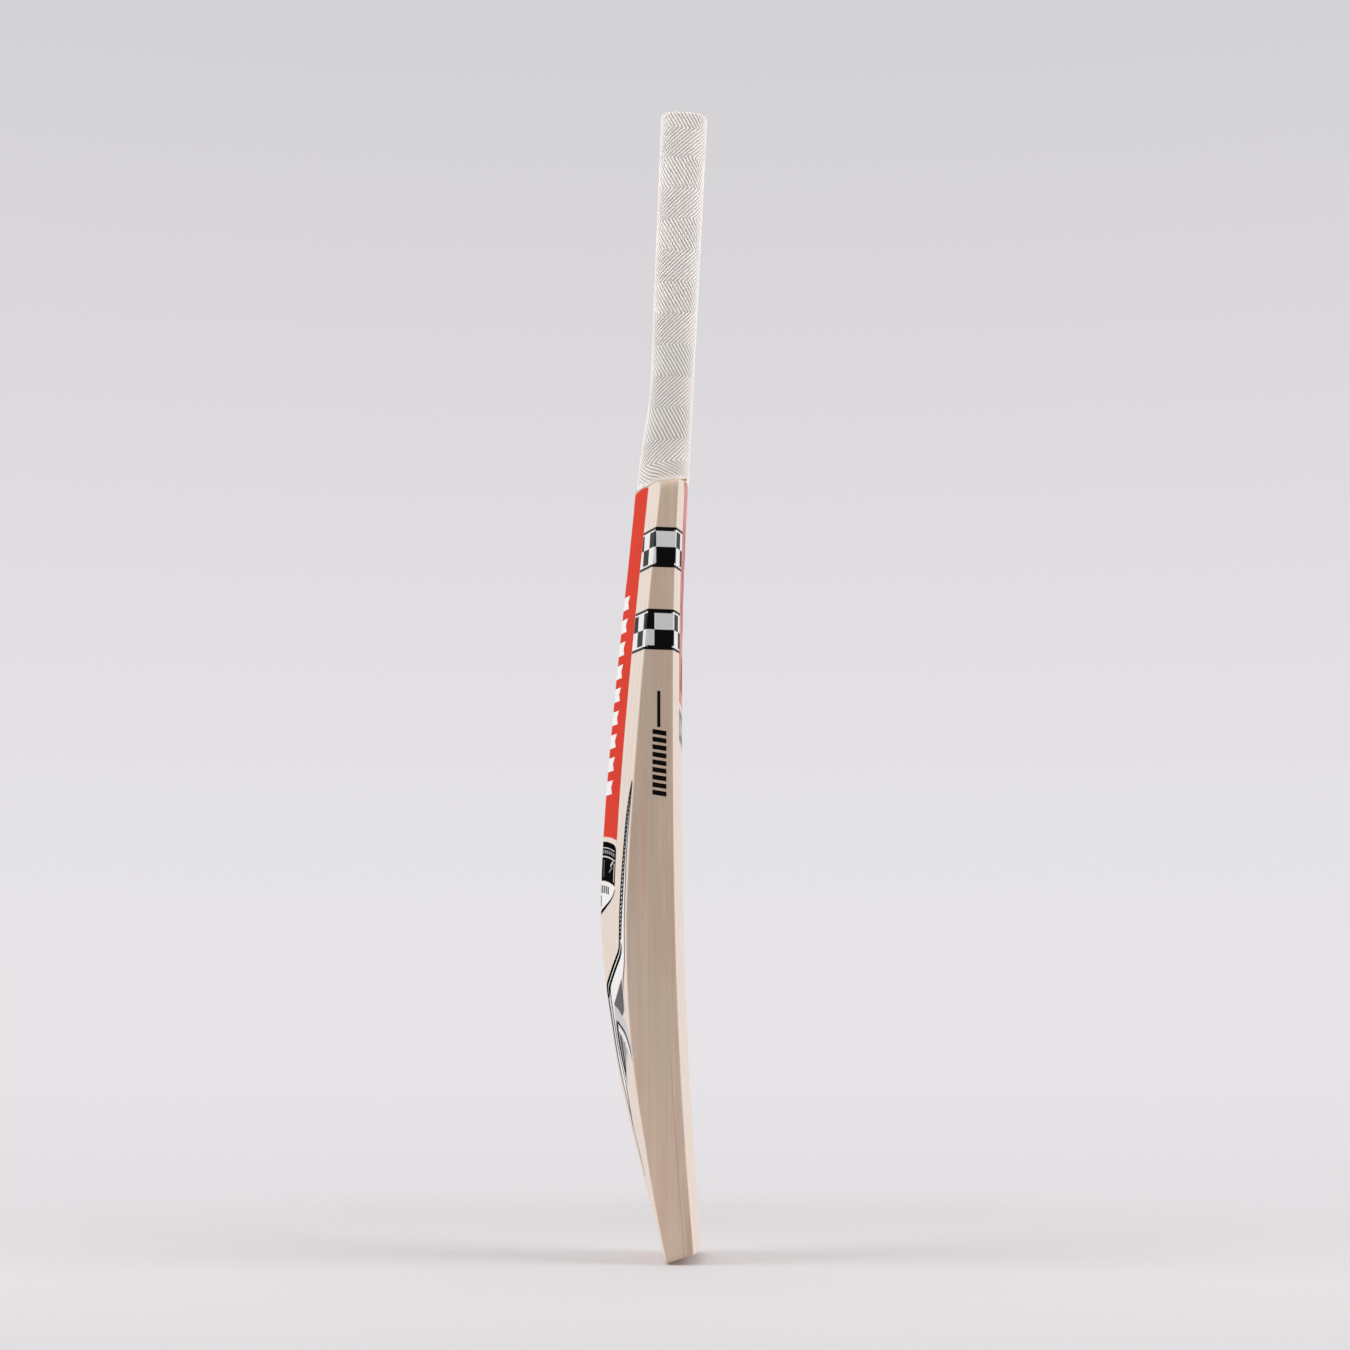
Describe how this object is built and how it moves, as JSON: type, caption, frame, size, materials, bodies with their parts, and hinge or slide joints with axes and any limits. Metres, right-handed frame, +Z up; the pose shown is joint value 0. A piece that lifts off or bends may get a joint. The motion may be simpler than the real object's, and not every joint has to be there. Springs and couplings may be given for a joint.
{
  "type": "cricket bat",
  "caption": "Full-size cricket bat: a flat-faced willow blade with a ridged back, and a round spliced handle in a chevron-ribbed rubber grip.",
  "frame": {"origin": "centre of the bounding box's bottom face, at the toe's rear edge level", "axes": "+Z up the bat from the toe to the butt of the handle, +X across the blade, +Y from the hitting face towards the ridge of the back"},
  "size_m": [0.1092, 0.0784, 0.8474],
  "materials": {
    "willow": "bare pale willow with a fine straight grain, satin",
    "cane": "straight-grained cane, sealed, satin",
    "spring_rubber": "matt dark rubber sheet",
    "twine": "waxed flax twine, closely wound",
    "grip_rubber": "matt white rubber with chevron ribs",
    "red_vinyl": "glossy printed film",
    "black_vinyl": "glossy printed film",
    "white_vinyl": "glossy printed film",
    "grey_vinyl": "satin metallic film"
  },
  "bodies": {
    "root": {"blade": "willow", "cane_face_left": "cane", "cane_face_middle": "cane", "cane_face_right": "cane", "cane_face_inner_left": "cane", "cane_face_inner_middle": "cane", "cane_face_inner_right": "cane", "cane_back_inner_left": "cane", "cane_back_inner_middle": "cane", "cane_back_inner_right": "cane", "cane_back_left": "cane", "cane_back_middle": "cane", "cane_back_right": "cane", "rubber_spring_face": "spring_rubber", "rubber_spring_middle": "spring_rubber", "rubber_spring_back": "spring_rubber", "handle_binding": "twine", "grip": "grip_rubber", "face_label": "red_vinyl", "face_strip": "grey_vinyl", "back_label": "red_vinyl", "back_badge": "black_vinyl", "back_shield": "white_vinyl", "side_stripe_left": "grey_vinyl", "edge_mark_left": "black_vinyl", "upper_band_left": "black_vinyl", "lower_band_left": "black_vinyl", "side_stripe_right": "grey_vinyl", "edge_mark_right": "black_vinyl", "upper_band_right": "black_vinyl", "lower_band_right": "black_vinyl"}
  },
  "joints": []
}
